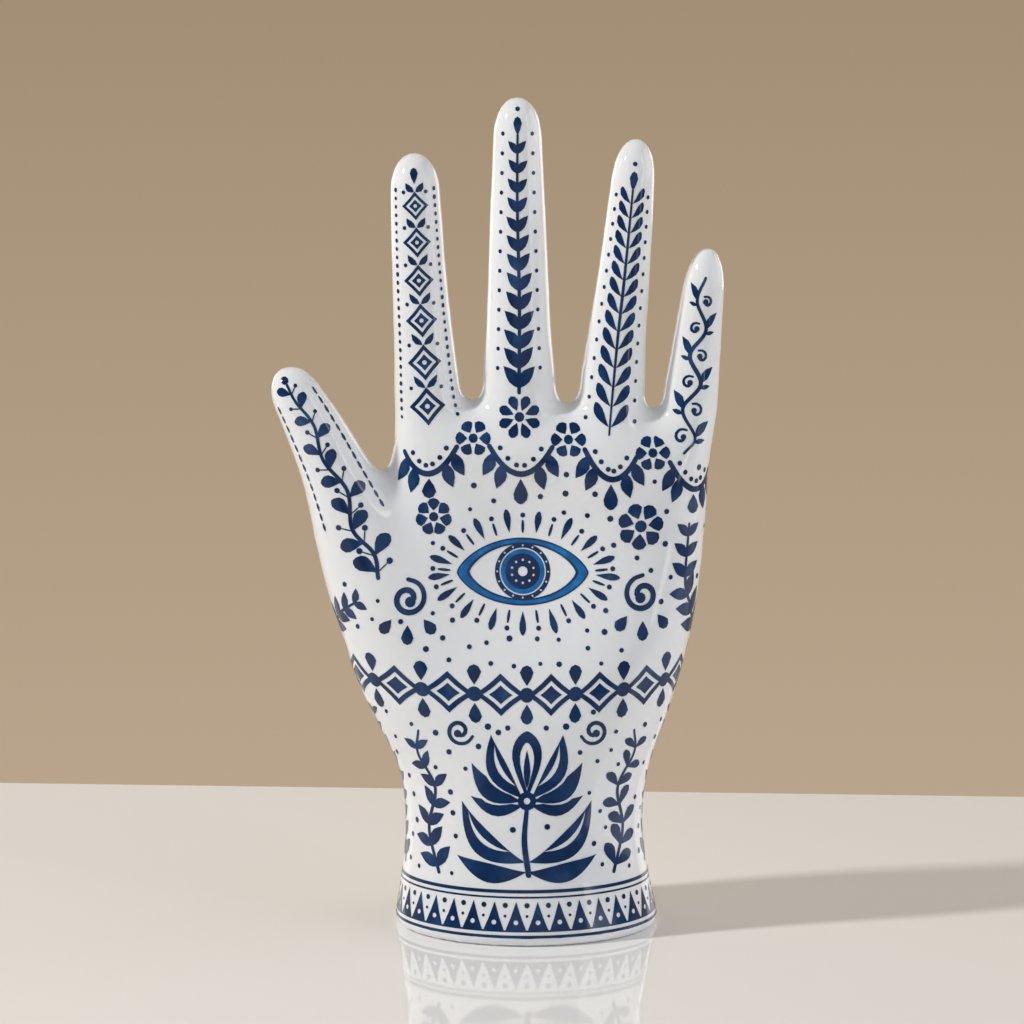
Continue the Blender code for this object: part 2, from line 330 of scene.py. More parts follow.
def onRow(row, across):
    k = min(max(bisect_right([u for u, _ in row], across) - 1, 0), len(row) - 2)
    (u0, p0), (u1, p1) = row[k], row[k + 1]
    share = min(max((across - u0) / max(u1 - u0, 1e-6), -0.2), 1.2)
    return p0.lerp(p1, share)


def onGlaze(sheet, across, up):  # a place in the drawing, put on the glaze, and the glaze's normal there
    heights, rows = sheet
    k = min(max(bisect_right(heights, up) - 1, 0), len(rows) - 2)
    share = (up - heights[k]) / (heights[k + 1] - heights[k])
    near = onRow(rows[k], across).lerp(onRow(rows[k + 1], across), share)
    place, _, index, _ = skinTree.find_nearest(near)
    corners = skinFaces[index]
    weights = poly_3d_calc([skinPoints[i] for i in corners], place)
    normal = sum((skinNormals[i] * w for i, w in zip(corners, weights)), Vector()).normalized()
    return place + normal * unrolling["lift"] * mm, normal


sheets = {name: unrolled(line, name in unrolling["allRound"]) for name, line in middleLines.items()}
print("sheets:", {name: (len(rows), round(heights[-1], 1)) for name, (heights, rows) in sheets.items()})

# A drawing is a list of inks and outlines, in millimetres across and up. Later ones cover earlier ones,
# and the ink "bare" lets the white show.


def dot(at, across, ink="navy"):
    count = min(max(round(across * 5), 8), 60)
    return [(ink, [Vector(at) + Vector((math.cos(a), math.sin(a))) * across / 2
                   for a in (2 * math.pi * k / count for k in range(count))])]


def brushLine(points, wide, ink="navy", taper=(0.6, 1.0, 0.6), step=0.7):
    line = curveThrough(points, step)
    last = len(line) - 1
    sides = []
    for k, p in enumerate(line):
        heading = (line[min(k + 1, last)] - line[max(k - 1, 0)]).normalized()
        t = k / last * 2
        if t < 1:
            width = wide / 2 * (taper[0] + (taper[1] - taper[0]) * t)
        else:
            width = wide / 2 * (taper[1] + (taper[2] - taper[1]) * (t - 1))
        square = Vector((-heading.y, heading.x)) * width
        sides.append((p + square, p - square))
    drawing = [(ink, [b[1], a[1], a[0], b[0]]) for a, b in zip(sides, sides[1:])]
    for end, inner in ((sides[0], line[1]), (sides[-1], line[-2])):
        middle, arm = (end[0] + end[1]) / 2, (end[0] - end[1]) / 2
        out = (middle - inner).normalized() * arm.length
        roundEnd = [middle + arm * math.cos(a) + out * math.sin(a) for a in (math.pi * k / 5 for k in range(6))]
        drawing.append((ink, roundEnd))
    return drawing


def leafShape(foot, tip, wide, bend=0.0, ink="navy", fullest=0.45, blunt=1.0):
    # pointed at both ends, or with a rounder end where blunt is small; bend bows it to the left
    foot, tip = Vector(foot), Vector(tip)
    along = tip - foot
    square = Vector((-along.y, along.x)).normalized()
    count = max(5, round(along.length / 0.7))
    power = math.log(0.5) / math.log(fullest)
    left, right = [], []
    for k in range(1, count):
        t = 0.5 - 0.5 * math.cos(math.pi * k / count)
        spine = foot + along * t + square * bend * 4 * t * (1 - t)
        half = wide / 2 * math.sin(math.pi * t ** power) ** blunt
        left.append(spine + square * half)
        right.append(spine - square * half)
    return [(ink, [foot] + right + [tip] + left[::-1])]


def dropShape(foot, tip, wide, bend=0.0, ink="navy"):  # a petal: thin foot, round end
    return leafShape(foot, tip, wide, bend, ink, fullest=0.66, blunt=0.62)


def lozenge(at, wide, tall, ink="navy"):
    at = Vector(at)
    corners = [Vector((wide / 2, 0)), Vector((0, tall / 2)), Vector((-wide / 2, 0)), Vector((0, -tall / 2))]
    outline = []
    for a, b in zip(corners, corners[1:] + corners[:1]):
        count = max(2, round((b - a).length / 0.8))
        outline += [at + a.lerp(b, k / count) * (1 - 0.06 * math.sin(math.pi * k / count)) for k in range(count)]
    return [(ink, outline)]


def placed(drawing, at, turn=0.0, size=1.0):
    c, s = math.cos(math.radians(turn)) * size, math.sin(math.radians(turn)) * size
    return [(ink, [Vector((at[0] + p.x * c - p.y * s, at[1] + p.x * s + p.y * c)) for p in outline])
            for ink, outline in drawing]


def walk(points, spacing, start=0.0):  # places and headings along a curve, an even distance apart
    line = curveThrough(points, 0.3)
    wanted, gone, found = start, 0.0, []
    for a, b in zip(line, line[1:]):
        length = (b - a).length
        while gone + length >= wanted and length > 0:
            heading = (b - a).normalized()
            found.append((a + heading * (wanted - gone), math.degrees(math.atan2(heading.y, heading.x)) - 90))
            wanted += spacing
        gone += length
    return found, gone


def branch(points, leafLong, leafWide, spacing, spread=42.0, stem=0.5, kind=leafShape, paired=True, shrink=0.35,
           start=1.0, bend=0.35, berries=0.0):
    # a stem with leaves on both sides, which get smaller towards its end
    drawing = brushLine(points, stem, taper=(1.0, 0.9, 0.6))
    stops = walk(points, spacing, start)[0]
    for k, (at, heading) in enumerate(stops):
        size = 1 - shrink * k / max(len(stops) - 1, 1)
        for way in (-1, 1):
            if not paired and (k % 2 == 0) == (way > 0):
                continue
            leaf = kind((0, 0.1), (0, leafLong), leafWide, bend * way)
            drawing += placed(leaf, at, heading - spread * way * (1 + 0.1 * dice.uniform(-1, 1)), size)
            if berries:  # on the side that has no leaf
                stalk = placed([("navy", [Vector((0, leafLong * 0.62))])], at, heading + spread * way * 0.9, size)
                end = stalk[0][1][0]
                drawing += brushLine([at, end], 0.28) + dot(end, berries * size)
    return drawing


def flower(at, radius, petals, petalWide, middle, turn=0.0):
    drawing = []
    for k in range(petals):
        drawing += placed(dropShape((0, middle * 0.62), (0, radius), petalWide), at, turn + 360 * k / petals)
    return drawing + dot(at, middle)


def curl(at, radius, turns, start, handed=1, wide=0.5, ink="navy", end=0.22):
    # a tendril that winds inwards from radius to a round end
    count = max(8, round(turns * 12))
    points = []
    for k in range(count + 1):
        t = k / count
        r = radius * (1 - (1 - end) * t)
        a = math.radians(start) + handed * turns * 2 * math.pi * t
        points.append(Vector(at) + Vector((math.cos(a), math.sin(a))) * r)
    return brushLine(points, wide, ink, taper=(0.7, 1.0, 1.0), step=0.5) + dot(points[-1], wide * 1.9, ink)


def dotsAlong(points, spacing, across, start=0.0):
    return [shape for at, _ in walk(points, spacing, start)[0]
            for shape in dot(at, across * (1 + 0.14 * dice.uniform(-1, 1)))]


def dashesAlong(points, spacing, long, wide, lean=90.0):
    drawing = []
    for at, heading in walk(points, spacing)[0]:
        arm = Vector((-math.sin(math.radians(heading + lean)), math.cos(math.radians(heading + lean)))) * long / 2
        drawing += brushLine([at - arm, at + arm], wide * (1 + 0.15 * dice.uniform(-1, 1)), step=0.6)
    return drawing


def boxOf(points):
    xs, ys = [p.x for p in points], [p.y for p in points]
    return min(xs), min(ys), max(xs), max(ys)


def isInside(p, outline):
    odd = False
    for a, b in zip(outline, outline[1:] + outline[:1]):
        if (a.y > p.y) != (b.y > p.y) and p.x < (b.x - a.x) * (p.y - a.y) / (b.y - a.y) + a.x:
            odd = not odd
    return odd


def scatterDots(drawing, corners, tries, across, gap):  # loose dots in the spaces that the motifs leave
    (left, low), (right, high) = corners
    taken = [(boxOf(outline), outline) for _, outline in drawing]
    added = []
    for _ in range(tries):
        p = Vector((dice.uniform(left, right), dice.uniform(low, high)))
        size = across * dice.uniform(0.75, 1.15)
        room = gap + size / 2
        if any((p - q).length < room * 2.6 for q, _ in added):
            continue
        clear = True
        for (x0, y0, x1, y1), outline in taken:
            if x0 - room < p.x < x1 + room and y0 - room < p.y < y1 + room:
                if isInside(p, outline) or any((p - q).length < room for q in outline):
                    clear = False
                    break
        if clear:
            added.append((p, size))
    return [shape for p, size in added for shape in dot(p, size)]


printing = {
    "grid": 1.1, "fineGrid": 0.9,      # spacing of the film's own points, and of those on the digits
    "cell": 2, "joinWithin": 0.0005,
}


def inkAt(p, cells):  # the last outline over a place gives its ink
    cell = (int(p.x // printing["cell"]), int(p.y // printing["cell"]))
    for ink, outline, (x0, y0, x1, y1) in cells.get(cell, ()):
        if x0 <= p.x <= x1 and y0 <= p.y <= y1 and isInside(p, outline):
            return ink
    return "bare"


def tooLong(onHand, drawn):  # where the hand turns away under the drawing, the film would tear
    return onHand.length / mm > drawn.length * unrolling["stretch"] + unrolling["slack"]


def printed(name, sheet, drawing, grid=printing["grid"]):  # the drawing as thin films of ink on the glaze
    points, edges, cells = [], [], {}
    for ink, outline in drawing[::-1]:
        first, count = len(points), len(outline)
        points += outline
        edges += [(first + k, first + (k + 1) % count) for k in range(count)]
        x0, y0, x1, y1 = boxOf(outline)
        for i in range(int(x0 // printing["cell"]), int(x1 // printing["cell"]) + 1):
            for j in range(int(y0 // printing["cell"]), int(y1 // printing["cell"]) + 1):
                cells.setdefault((i, j), []).append((ink, outline, (x0, y0, x1, y1)))
    left, low, right, high = boxOf(points)
    for j in range(int((high - low) / grid) + 1):
        for i in range(int((right - left) / grid) + 1):
            points.append(Vector((left + (i + 0.5 * (j % 2)) * grid, low + j * grid)))
    flat, _, triangles, _, _, _ = delaunay_2d_cdt(points, edges, [], 0, printing["joinWithin"])
    found = [inkAt((flat[a] + flat[b] + flat[c]) / 3, cells) for a, b, c in triangles]
    lifted = {}
    for ink, slot in (("navy", "navy_print"), ("bright", "bright_blue_print")):
        kept = [t for t, colour in zip(triangles, found) if colour == ink]
        for i in {i for t in kept for i in t} - set(lifted):
            lifted[i] = onGlaze(sheet, flat[i].x, flat[i].y)
        kept = [t for t in kept if not any(tooLong(lifted[a][0] - lifted[b][0], flat[a] - flat[b])
                                           for a, b in zip(t, t[1:] + t[:1]))]
        if not kept:
            continue
        used = sorted({i for t in kept for i in t})
        order = {i: k for k, i in enumerate(used)}
        mesh = bpy.data.meshes.new(name)
        mesh.from_pydata([lifted[i][0] for i in used], [], [[order[i] for i in t] for t in kept])
        mesh.polygons.foreach_set("use_smooth", [True] * len(mesh.polygons))
        turned = sum(1 for p in mesh.polygons[:50] if p.normal.dot(lifted[used[p.vertices[0]]][1]) < 0)
        if turned > 25:
            mesh.flip_normals()
        mesh.normals_split_custom_set_from_vertices([lifted[i][1] for i in used])
        film = newObject(name if ink == "navy" else name + "_blue", mesh, [inkMaterials[ink]])
        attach(film, "root")
        print(film.name, len(kept), "triangles")


inkMaterials = {ink: cobaltPrint(ink) for ink in inks}
dice = random.Random(7)  # for the small unevenness of a hand-drawn design, the same each run

eye = {
    "middle": (-0.8, 68.3), "long": 25.3, "tall": 12.7,
    "band": 0.95, "line": 0.3,   # the bright blue rim, and the navy lines round it
    "iris": 5.3, "pupil": 0.95,
    "irisDots": 16, "innerDots": 10,
    "fringe": 34,
    "petalWide": 1.35, "petalReach": 5.6, "rayWide": 0.6, "rayReach": 3.2, "bead": 1.0, "beadReach": 4.3,
}


def almond(long, tall, ink):
    turns = [math.pi * k / 40 for k in range(1, 40)]
    top = [Vector((long / 2 * math.cos(a), tall / 2 * math.sin(a) ** 1.4)) for a in turns]
    return [(ink, [Vector((long / 2, 0))] + top + [Vector((-long / 2, 0))] + [Vector((p.x, -p.y)) for p in top[::-1]])]


def eyeInPalm():  # the old charm of an eye in the palm
    long, tall, band, line, iris = (eye[k] for k in ("long", "tall", "band", "line", "iris"))
    drawing = almond(long, tall, "navy") + almond(long - 2 * line, tall - 2 * line, "bright")
    drawing += almond(long - 4.0 * band, tall - 2 * band, "navy")
    drawing += almond(long - 4.0 * band - 4 * line, tall - 2 * band - 2 * line, "bare")
    for radius, ink in ((iris, "navy"), (iris - 0.85, "bare"), (iris - 1.1, "bright"), (iris - 1.95, "navy"),
                        (eye["pupil"], "bare")):
        drawing += dot((0, 0), 2 * radius, ink)
    for count, radius, across in ((eye["irisDots"], iris - 0.42, 0.4), (eye["innerDots"], 2.15, 0.5)):
        for k in range(count):
            drawing += placed(dot((0, radius), across, "bare"), (0, 0), 360 * k / count)
    for k in range(eye["fringe"]):  # slim petals, and short lines with a dot between them
        angle = 2 * math.pi * (k + 0.5) / eye["fringe"]
        rise = abs(math.sin(angle)) ** 1.3 * math.copysign(1, math.sin(angle))
        edge = Vector((long / 2 * math.cos(angle) * 1.03, tall / 2 * rise))
        out = Vector((math.cos(angle) * 0.8, math.sin(angle))).normalized()
        if k % 2:
            reach = eye["petalReach"] + 0.4 * dice.uniform(-1, 1)
            drawing += dropShape(edge + out * 1.0, edge + out * reach, eye["petalWide"])
        else:
            drawing += brushLine([edge + out * 1.1, edge + out * eye["rayReach"]], eye["rayWide"])
            drawing += dot(edge + out * eye["beadReach"], eye["bead"])
    return placed(drawing, eye["middle"])


printed("print_eye", sheets["palm"], eyeInPalm())


thumbSpray = {
    "stem": [(-0.2, 4.5), (0.9, 9.0), (-1.0, 15.0), (1.0, 22.0), (-0.7, 29.0), (0.7, 35.5), (-0.2, 41.0), (0.0, 44.5)],
    "leafLong": 5.2, "leafWide": 3.1, "spacing": 3.2, "spread": 56.0, "narrowing": 0.42, "berry": 1.3,
    "side": [(6.5, 17.0), (5.5, 28.0), (4.4, 42.5)], "dashSpacing": 2.0, "dashLong": 1.2, "dashWide": 0.7,
}


def thumbDrawing():
    spray = thumbSpray
    drawing = branch(spray["stem"], spray["leafLong"], spray["leafWide"], spray["spacing"], spray["spread"], 0.8,
                     dropShape, paired=False, shrink=spray["narrowing"], berries=spray["berry"])
    drawing += dot((0, 45.4), 1.5)
    for way in (-1, 1):
        drawing += dashesAlong([(x * way, y) for x, y in spray["side"]], spray["dashSpacing"],
                               spray["dashLong"], spray["dashWide"], 0.0)
    return drawing


indexChain = {
    "top": 45.0, "narrowing": 0.3,
    "rings": ((7.2, 7.4, "navy"), (5.0, 5.2, "bare"), (3.3, 3.4, "navy")), "step": 7.2, "gap": 1.5,
    "side": [(5.8, 3.6), (5.0, 20.0), (4.1, 47.0)], "dots": 0.85, "dotSpacing": 1.6,
}


def indexDrawing():
    drawing, up = [], 2.0
    while up < indexChain["top"]:
        size = 1 - indexChain["narrowing"] * up / indexChain["top"]
        at = (0, up + indexChain["step"] / 2 * size)
        for wide, tall, ink in indexChain["rings"]:
            drawing += lozenge(at, wide * size, tall * size, ink)
        drawing += dot(at, 1.0 * size, "bare")
        up += indexChain["step"] * size
        for way in (-1, 1):
            drawing += leafShape((0.15 * way, up), (2.3 * way * size, up + 2.4 * size), 1.25, -0.25 * way)
            drawing += dot((3.0 * way * size, up), 0.8)
        up += indexChain["gap"]
    drawing += dropShape((0, up), (0, up + 3.0), 1.5)
    for way in (-1, 1):
        side = [(x * way, y) for x, y in indexChain["side"]]
        drawing += dotsAlong(side, indexChain["dotSpacing"], indexChain["dots"])
    return drawing


middleSpray = {
    "flower": (0, 3.6), "radius": 4.2, "petals": 8,
    "stem": [(0, 8.2), (0.2, 25.0), (-0.1, 44.0), (0, 57.0)],
    "leafLong": 5.2, "leafWide": 2.4, "spacing": 3.7, "spread": 36.0, "narrowing": 0.42,
    "side": [(0, 10.4), (0, 56.0)], "dots": 0.85,
}


def middleDrawing():
    spray = middleSpray
    drawing = flower(spray["flower"], spray["radius"], spray["petals"], 2.0, 1.9, 22)
    drawing += branch(spray["stem"], spray["leafLong"], spray["leafWide"], spray["spacing"], spray["spread"], 0.7,
                      leafShape, shrink=spray["narrowing"], start=0.8)
    drawing += dropShape((0, 56.8), (0, 60.4), 1.6) + dot((0, 61.8), 0.9)
    for at, _ in walk(spray["side"], spray["spacing"])[0]:
        for way in (-1, 1):
            drawing += dot((way * (4.6 - 0.03 * at.y), at.y + 2.4), spray["dots"])
    return drawing


ringSpray = {
    "stem": [(0, 0.2), (0, 49.0)], "top": 46.0, "narrowing": 0.34, "spacing": 3.9,
    "leafOut": 3.2, "leafUp": 4.5, "leafWide": 1.9, "dots": 0.85,
}


def ringDrawing():
    spray = ringSpray
    drawing, up = brushLine(spray["stem"], 0.6), 1.6
    while up < spray["top"]:
        size = 1 - spray["narrowing"] * up / 48
        for way in (-1, 1):
            drawing += dropShape((0.15 * way, up), (spray["leafOut"] * way * size, up + spray["leafUp"] * size),
                                 spray["leafWide"] * size, -0.35 * way)
            drawing += dot((4.9 * way * size, up + 1.4), spray["dots"])
        up += spray["spacing"] * size
    drawing += dropShape((0, up - 0.4), (0, up + 3.4), 1.6) + dot((0, up + 4.8), 0.9)
    return drawing


littleVine = {"bends": 6, "rise": 5.2, "sway": 1.6, "tendril": 1.6, "narrowing": 0.06, "stem": 0.85}


def littleDrawing():
    vine = littleVine
    bends = [((-1) ** k, 1 - vine["narrowing"] * k, 1.5 + vine["rise"] * k) for k in range(vine["bends"])]
    stem = [(vine["sway"] * way * size, up) for way, size, up in bends]
    drawing = brushLine([(-0.3, -1.5)] + stem + [(0.1, 32.0)], vine["stem"])
    for way, size, up in bends:
        drawing += curl((-1.1 * way * size, up), vine["tendril"] * size, 0.85, 90 - 30 * way, way, 0.6)
        drawing += leafShape((1.7 * way * size, up + 0.2), (4.1 * way * size, up + 3.4), 1.9 * size, 0.3 * way)
        drawing += leafShape((1.5 * way * size, up - 0.8), (3.9 * way * size, up - 0.3), 1.1 * size)
    return drawing


for digit, draw in (("thumb", thumbDrawing), ("index", indexDrawing), ("middle", middleDrawing),
                    ("ring", ringDrawing), ("little", littleDrawing)):
    printed("print_" + digit, sheets[digit], draw(), printing["fineGrid"])

garland = {
    # start, end and depth of each swag below the fingers, and length of the drop under it
    "swags": (((-24.0, 90.8), (-13.4, 92.0), 4.6, 3.8), ((-7.2, 92.2), (4.8, 92.0), 5.2, 5.0),
              ((11.0, 91.6), (21.0, 90.2), 4.9, 5.0), ((27.4, 89.0), (37.8, 87.0), 4.4, 3.8)),
    "line": 1.15, "leafLong": 4.9, "leafWide": 2.5, "bead": 1.0, "dropWide": 2.8,
    "ties": ((-10.3, 93.6), (7.9, 93.4), (24.1, 90.8)), "blossom": 3.4,
}


def swag(start, end, dip, dropLong):  # leaves hang from the arc and point to its middle, with beads above it
    start, end = Vector(start), Vector(end)
    points = [start.lerp(end, k / 8) - Vector((0, dip * 4 * k / 8 * (1 - k / 8))) for k in range(9)]
    drawing = brushLine(points, garland["line"], taper=(0.8, 1.0, 0.8))
    length = walk(points, 1.0)[1]
    stops = walk(points, length / 6, length / 12)[0]
    for k, (at, heading) in enumerate(stops):
        if k in (0, 1, 4, 5):
            turn = heading - 56 if k < 3 else heading + 236
            leaf = leafShape((0, 0.1), (0, garland["leafLong"]), garland["leafWide"], 0.25 if k < 3 else -0.25)
            drawing += placed(leaf, at, turn)
        drawing += placed(dot((-1.6, 0), garland["bead"]), at, heading)
    low = points[4]
    return drawing + dropShape(low - Vector((0, 0.9)), low - Vector((0, 0.9 + dropLong)), garland["dropWide"])


def edged(foot, tip, wide, bow):  # a leaf with a rim of white that parts it from the ones under it
    return leafShape(foot, tip, wide + 0.9, bow, "bare", fullest=0.5) + leafShape(foot, tip, wide, bow, fullest=0.5)


lotus = {
    "at": (0, 25.8), "size": 1.18,
    # foot, tip, width and bow of the petals on the right side, from the lowest up
    "petals": (((0.5, -0.8), (9.2, 0.4), 2.4, -1.3), ((0.8, -0.2), (9.0, 5.8), 3.0, -1.8),
               ((0.6, 0.2), (5.8, 10.4), 3.4, -1.6)),
    "stem": [(0, 24.5), (-0.5, 18.0), (0.3, 11.6)],
    "leaves": (((0.1, 12.2), (13.8, 14.8), 3.6, -1.7), ((0.2, 14.0), (12.6, 25.2), 4.8, -3.0)),
}


def bloom(at, size):  # an open lotus
    drawing = []
    for way in (-1, 1):
        for foot, tip, wide, bow in lotus["petals"]:
            drawing += edged((foot[0] * way, foot[1]), (tip[0] * way, tip[1]), wide, bow * way)
        drawing += leafShape((1.8 * way, 2.2), (5.2 * way, 8.8), 0.8, -1.1 * way, "bare")
        drawing += dot((6.3 * way, 11.7), 1.1) + dot((3.1 * way, 11.5), 0.9)
    drawing += dropShape((0, -0.4), (0, 11.5), 5.8, ink="bare") + dropShape((0, 0), (0, 11.0), 4.8)
    drawing += dropShape((0, 1.4), (0, 9.2), 2.3, ink="bare") + leafShape((0, 1.8), (0, 8.0), 1.1)
    drawing += dot((0, -0.2), 3.0) + dot((0, -0.2), 1.1, "bare") + dot((0, 12.9), 1.3)
    return placed(drawing, at, 0, size)


palmPrint = {
    # stem, leaf length and width, and spacing of the sprays beside the eye
    "sprays": (([(-42.0, 56.0), (-38.5, 59.5), (-33.5, 62.4)], 4.8, 2.5, 3.2),
               ([(37.0, 55.5), (34.0, 60.5), (31.5, 66.0), (31.8, 77.0)], 5.6, 2.8, 3.9)),
    # place, radius, petal width, eye and turn of the flowers above it
    "flowers": (((-17.8, 78.7), 3.5, 2.4, 1.8, 0), ((21.8, 77.0), 4.5, 2.9, 2.3, 20)),
    "spirals": ((1, (22.2, 64.2)), (-1, (-22.8, 63.6))), "spiral": 3.6, "spiralLine": 1.1,
    # stem, leaf length and width, spacing and spread of the laurels on the right
    "laurel": ([(18.0, 11.0), (20.4, 19.0), (18.4, 27.0), (21.8, 33.5), (21.2, 38.2)], 5.2, 2.5, 4.0, 50),
    "outerLaurel": ([(30.0, 11.0), (31.5, 19.0), (30.5, 27.0), (33.5, 35.5), (33.2, 40.6)], 4.4, 2.2, 3.6, 46),
}


def palmDrawing():
    drawing = []
    for start, end, dip, dropLong in garland["swags"]:
        drawing += swag(start, end, dip, dropLong)
    for at in garland["ties"]:
        drawing += flower(at, garland["blossom"], 6, 2.4, 1.8, 30)
    for stem, leafLong, leafWide, spacing in palmPrint["sprays"]:
        drawing += branch(stem, leafLong, leafWide, spacing, 48, 0.8, leafShape)
    for at, radius, petalWide, middle, turn in palmPrint["flowers"]:
        drawing += flower(at, radius, 7, petalWide, middle, turn)
    for way, at in palmPrint["spirals"]:
        drawing += curl(at, palmPrint["spiral"], 1.4, 90, way, palmPrint["spiralLine"])
        for k in (-1, 0, 1):  # three drops fan out below it
            drawing += placed(dropShape((0, 5.0), (0, 8.8 - 0.4 * abs(k)), 2.4), at, 180 + 38 * k)
    drawing += bloom(lotus["at"], lotus["size"])
    drawing += brushLine(lotus["stem"], 1.1, taper=(0.7, 1.0, 1.0))
    for way in (-1, 1):
        for foot, tip, wide, bow in lotus["leaves"]:
            drawing += edged((foot[0] * way, foot[1]), (tip[0] * way, tip[1]), wide, bow * way)
        drawing += leafShape((3.2 * way, 16.0), (11.4 * way, 23.6), 0.9, -2.2 * way, "bare")
        stem, leafLong, leafWide, spacing, spread = palmPrint["laurel"]
        kind = dropShape if way > 0 else leafShape
        drawing += branch([(x * way, y) for x, y in stem], leafLong, leafWide, spacing, spread, 0.8, kind)
        drawing += curl((12.9 * way, 38.6), 2.7, 1.3, 200 if way > 0 else -20, way, 0.8)
        stem, leafLong, leafWide, spacing, spread = palmPrint["outerLaurel"]
        drawing += branch([(x * way, y) for x, y in stem], leafLong, leafWide, spacing, spread, 0.7, leafShape)
    return drawing


bandString = {
    "height": 8.6, "sway": 3.1,   # its middle height above the sheet's foot, and how far it dips in front
    "line": 0.9, "spacing": 9.6, "bead": 2.8,
    "rings": ((7.9, 9.8, "navy"), (5.3, 6.7, "bare"), (3.5, 4.4, "navy")),
    "drop": (1.7, 5.5, 2.6),      # foot, tip and width
    "abovePalm": 40.0,            # the band's sheet starts this much above the palm's
}


def bandDrawing():  # a string of lozenges round the hand, lowest in front; 0 is 42 mm above the table
    half = sheets["band"][1][0][-1][0]
    string = [(half * k / 12, bandString["height"] - bandString["sway"] * math.cos(math.pi * k / 12))
              for k in range(-12, 13)]
    drawing = brushLine(string, bandString["line"], taper=(1, 1, 1))
    length = walk(string, 1.0)[1]
    count = 2 * round(length / bandString["spacing"])
    foot, tip, dropWide = bandString["drop"]
    for k, (at, heading) in enumerate(walk(string, length / count)[0]):
        if k % 2:
            for wide, tall, ink in bandString["rings"]:
                drawing += placed(lozenge((0, 0), wide, tall, ink), at, heading)
        else:
            drawing += dot(at, bandString["bead"])
            for way in (-1, 1):
                drawing += placed(dropShape((foot * way, 0), (tip * way, 0), dropWide), at, heading)
    return drawing


looseDots = {"field": ((-40.0, 11.0), (40.0, 88.0)), "tries": 5200, "across": 1.08, "gap": 0.8}


def isClear(p):  # away from the thumb's web, and from the string where the two sheets drift apart
    return not (p.x < -18 and p.y > 66 or abs(p.x) > 22 and 42 < p.y < 57)


palmMotifs = palmDrawing()
bandMotifs = bandDrawing()
printed("print_band", sheets["band"], bandMotifs)
onPalm = Vector((0, bandString["abovePalm"]))
taken = palmMotifs + [(ink, [p + onPalm for p in outline]) for ink, outline in bandMotifs] + eyeInPalm()
loose = scatterDots(taken, looseDots["field"], looseDots["tries"], looseDots["across"], looseDots["gap"])
printed("print_palm", sheets["palm"], palmMotifs + [(ink, outline) for ink, outline in loose if isClear(outline[0])])

footBorder = {
    "lines": ((0.0, 0.6), (1.1, 0.35), (7.4, 0.35), (8.5, 0.65)),   # height and width
    "spacing": 4.1, "spikeTop": 6.6,
}


def wristDrawing():  # a border round the foot; 0 is 2 mm above the table
    half = sheets["wrist"][1][0][-1][0]
    count = round(half / footBorder["spacing"])
    drawing = []
    for height, wide in footBorder["lines"]:
        drawing += brushLine([(half * k / 4, height) for k in range(-4, 5)], wide, taper=(1, 1, 1), step=1.2)
    for k in range(-count, count):
        x = half * (k + 0.5) / count
        between = x + half / count / 2
        spike = [(x - 1.9, 1.3), (x, 1.2), (x + 1.9, 1.3), (x + 1.0, 3.6), (x, footBorder["spikeTop"]), (x - 1.0, 3.6)]
        drawing += [("navy", [Vector(p) for p in spike])]
        drawing += dot((x, 2.7), 0.95, "bare") + dot((between, 5.9), 1.05) + dot((between, 3.9), 0.6)
    return drawing


printed("print_wrist", sheets["wrist"], wristDrawing())

table = {
    "front": -900.0, "left": -1400.0, "right": 1400.0,
    "edge": 116.0, "edgeSlope": -0.062,   # where the table ends behind the hand
    "thickness": 12.0,
    "colour": "#F7F6F4",
    "roughness": 0.055,
}


def tableTop():
    # Acrylic sheet, cast and polished: a clean white whose skin mirrors the hand's foot.
    outline = [(table["left"], table["front"]), (table["right"], table["front"])]
    outline += [(x, table["edge"] + table["edgeSlope"] * x) for x in (table["right"], table["left"])]
    sheet = bmesh.new()
    face = sheet.faces.new([sheet.verts.new((x * mm, y * mm, 0)) for x, y in outline])
    lower = [g for g in bmesh.ops.extrude_face_region(sheet, geom=[face])["geom"] if isinstance(g, bmesh.types.BMVert)]
    bmesh.ops.translate(sheet, vec=(0, 0, -table["thickness"] * mm), verts=lower)
    bmesh.ops.recalc_face_normals(sheet, faces=sheet.faces[:])
    mesh = bpy.data.meshes.new("table_top")
    sheet.to_mesh(mesh)
    sheet.free()
    material, tree = newMaterial("white_acrylic")
    place = addNode(tree, "ShaderNodeTexCoord")
    blush = addNode(tree, "ShaderNodeTexNoise", {"Scale": 3.0, "Detail": 1.0}, {"Vector": place.outputs["Object"]})
    soft = addNode(tree, "ShaderNodeMapRange", {"To Min": table["roughness"] * 0.9, "To Max": table["roughness"] * 1.1},
                   {"Value": blush.outputs[0]})
    shader = addNode(tree, "ShaderNodeBsdfPrincipled", {"Base Color": srgb(table["colour"]), "IOR": 1.49},
                     {"Roughness": soft.outputs[0]})
    addNode(tree, "ShaderNodeOutputMaterial", links={"Surface": shader.outputs[0]})
    newObject("table_top", mesh, [material])


tableTop()

studio = {
    "wallHigh": "#A08C72", "wallLow": "#B9A58D",   # painted wall behind, seen by the camera and in the gloss
    "fade": (-0.22, 0.0),                           # the upward slope between which the wall darkens
    "ahead": 0.35,                                  # how far round from the side the wall reaches full colour
    "room": "#CDCDCC", "dim": "#77797B",            # the room in front, as the camera and as the gloss see it
    "fill": "#E4EAF2", "fillLevel": 0.36,           # soft light of that room; the wall adds its own tan light
}


